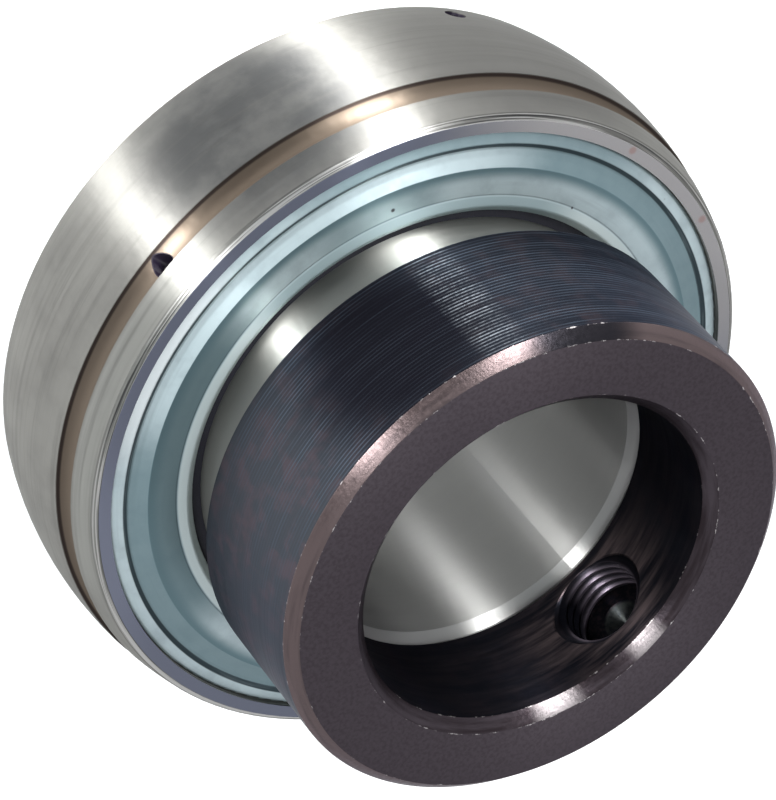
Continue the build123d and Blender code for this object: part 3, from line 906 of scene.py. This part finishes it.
class BEARING_OT_screw(bpy.types.Operator):
    """Model the cup-point set screw with its thread and hexagon socket"""

    bl_idname = "bearing.screw"
    bl_label = "Set screw"

    def execute(self, context):
        sizes = context.scene.bearing_sizes
        screw = self.thread(sizes)
        self.cut_ends(screw, sizes)
        place(screw, outwards(sizes.screw_height))
        complete(screw, screw_steel(context.scene.bearing_colours, sizes))
        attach(screw, "set_screw")
        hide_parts("set_screw")
        return {"FINISHED"}

    def thread(self, sizes):
        """Wind the thread in phase with the tapped hole and trim it with a bevelled blank."""
        tip, tail, pitch, steps = screw_low.x, screw_high.x, sizes.thread_pitch, sizes.thread_steps
        crest = sizes.hole_radius + sizes.thread_depth - sizes.thread_play
        root = sizes.hole_radius - sizes.thread_play
        outline = thread_outline(SCREW_THREAD, crest, root, pitch, TAP_GROOVE_MIDDLE)
        screw = threaded_bar("screw_turned", outline, pitch, math.ceil((tail - tip) / pitch) + 3, steps)
        whole_turns = round((tip - 2 * pitch - sizes.thread_start) / pitch)
        place(screw, Matrix.Translation((0, 0, sizes.thread_start + whole_turns * pitch)))
        clear = 0.01 * MM    # by which the blank stands outside the thread's crests
        blank = cylinder(crest + clear, tip, tail, steps)
        add_modifier(blank, "BEVEL", width=sizes.screw_bevel, segments=1, limit_method="ANGLE",
                     angle_limit=SQUARE_EDGE)
        combine(screw, blank, "INTERSECT")
        add_modifier(screw, "WELD", merge_threshold=10 * WELD)
        return screw

    def cut_ends(self, screw, sizes):
        """Cut the cup into the tip and the hexagon socket into the tail."""
        tip, tail = screw_low.x, screw_high.x
        past = 0.25    # share of the cup by which its cutter stands out past the tip
        cup = cone(sizes.cup_radius * (1 + past), sizes.cup_floor, tip - sizes.cup_depth * past,
                   tip + sizes.cup_depth, sizes.thread_steps)
        combine(screw, cup, "DIFFERENCE")
        key = cylinder(sizes.socket_across / math.sqrt(3), tail - sizes.socket_depth, tail + MM, 6)
        combine(screw, key, "DIFFERENCE")


class BEARING_OT_stage(bpy.types.Operator):
    """Set the floor, the lamps, the sky and the camera"""

    bl_idname = "bearing.stage"
    bl_label = "Stage"

    def execute(self, context):
        floor = self.floor(context.scene.bearing_colours)
        for name, (azimuth, elevation, width, power) in STRIPS.items():
            self.lamp(name, math.radians(azimuth), math.radians(elevation), width, power)
        self.sky()
        self.camera()
        context.scene.view_settings.view_transform = "Standard"
        return {"FINISHED"}

    def floor(self, colours):
        """A wide pale floor that shows white and keeps the shadow."""
        deselect()
        bpy.ops.mesh.primitive_plane_add(size=FLOOR_WIDTH, location=(0, 0, floor_height))
        floor = bpy.context.object
        floor.name = "studio_floor"
        made = Nodes(bpy.data.materials.new("studio_floor"))
        lit = made.node("ShaderNodeBsdfDiffuse", {"Color": colours.floor})
        path = made.node("ShaderNodeLightPath")
        seen = made.math("MAXIMUM", path.outputs["Is Camera Ray"], path.outputs["Is Glossy Ray"])
        seen = made.math("MAXIMUM", seen, path.outputs["Is Transmission Ray"])
        glow = made.node("ShaderNodeEmission", {"Color": (1, 1, 1), "Strength": made.both(seen, FLOOR_GLOW)})
        total = made.node("ShaderNodeAddShader", {0: lit.outputs[0], 1: glow.outputs[0]})
        made.node("ShaderNodeOutputMaterial", {"Surface": total.outputs[0]})
        floor.data.materials.append(made.owner)
        return floor

    def lamp(self, name, azimuth, elevation, width, power):
        """A strip lamp that looks at the bearing from a direction."""
        back = self.direction(azimuth, elevation)
        bpy.ops.object.light_add(type="AREA", location=back * STRIP_DISTANCE)
        lamp = bpy.context.object
        lamp.name = f"lamp_{name}"
        lamp.rotation_euler = back.to_track_quat("Z", "Y").to_euler()
        lamp.data.shape = "RECTANGLE"
        lamp.data.size = width
        lamp.data.size_y = STRIP_LENGTH
        lamp.data.energy = power

    def sky(self):
        """A soft sky: bright overhead, paler at the sides and dim behind the camera."""
        world = bpy.data.worlds.new("studio_sky")
        bpy.context.scene.world = world
        made = Nodes(world)
        way = made.node("ShaderNodeTexCoord").outputs["Generated"]
        rise = made.node("ShaderNodeSeparateXYZ", {0: way}).outputs[2]
        camera_way = (math.cos(CAMERA_TURN), math.sin(CAMERA_TURN), 0)
        turn = made.node("ShaderNodeVectorMath", {0: way, 1: camera_way}, operation="DOT_PRODUCT").outputs[1]
        tone = made.mix(made.fade(turn, *SKY_BEHIND_TURN), SKY_SIDE, SKY_BEHIND)
        tone = made.mix(made.fade(rise, *SKY_TOP_RISE), tone, SKY_TOP)
        light = made.node("ShaderNodeBackground", {"Color": tone})
        made.node("ShaderNodeOutputWorld", {"Surface": light.outputs[0]})

    def camera(self):
        """The photograph's camera, rolled so that the shaft points down to the right."""
        back = self.direction(CAMERA_TURN, CAMERA_RISE)
        spot = CAMERA_AIM + back * CAMERA_DISTANCE
        bpy.ops.object.camera_add(location=spot)
        camera = bpy.context.object
        camera.name = "photo_camera"
        upright = back.to_track_quat("Z", "Y").to_matrix().to_4x4()
        camera.matrix_world = Matrix.Translation(spot) @ upright @ Matrix.Rotation(CAMERA_ROLL, 4, "Z")
        camera.data.lens = CAMERA_LENS
        camera.data.sensor_width = CAMERA_SENSOR
        camera.data.clip_start = CAMERA_NEAR
        bpy.context.scene.camera = camera

    def direction(self, azimuth, elevation):
        """The way out from the bearing towards an azimuth and elevation, one metre long."""
        level = math.cos(elevation)
        return Vector((math.cos(azimuth) * level, math.sin(azimuth) * level, math.sin(elevation)))


class BEARING_PT_panel(bpy.types.Panel):
    """Lists the steps"""

    bl_idname = "BEARING_PT_panel"
    bl_label = "Insert bearing"
    bl_space_type = "VIEW_3D"
    bl_region_type = "UI"
    bl_category = "Bearing"

    def draw(self, context):
        for step in STEPS:
            self.layout.operator(step.bl_idname)


STEPS = (
    BEARING_OT_rings, BEARING_OT_seals, BEARING_OT_rollers, BEARING_OT_collar, BEARING_OT_screw,
    BEARING_OT_stage,
)
CLASSES = (BearingSizes, BearingColours, *STEPS, BEARING_PT_panel)


def register():
    for made in CLASSES:
        bpy.utils.register_class(made)
    bpy.types.Scene.bearing_sizes = PointerProperty(type=BearingSizes)
    bpy.types.Scene.bearing_colours = PointerProperty(type=BearingColours)


def unregister():
    del bpy.types.Scene.bearing_sizes
    del bpy.types.Scene.bearing_colours
    for made in reversed(CLASSES):
        bpy.utils.unregister_class(made)


def main():
    """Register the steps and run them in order."""
    register()
    bpy.ops.bearing.rings()
    bpy.ops.bearing.seals()
    bpy.ops.bearing.rollers()
    bpy.ops.bearing.collar()
    bpy.ops.bearing.screw()
    bpy.ops.bearing.stage()


if __name__ == "__main__":
    main()
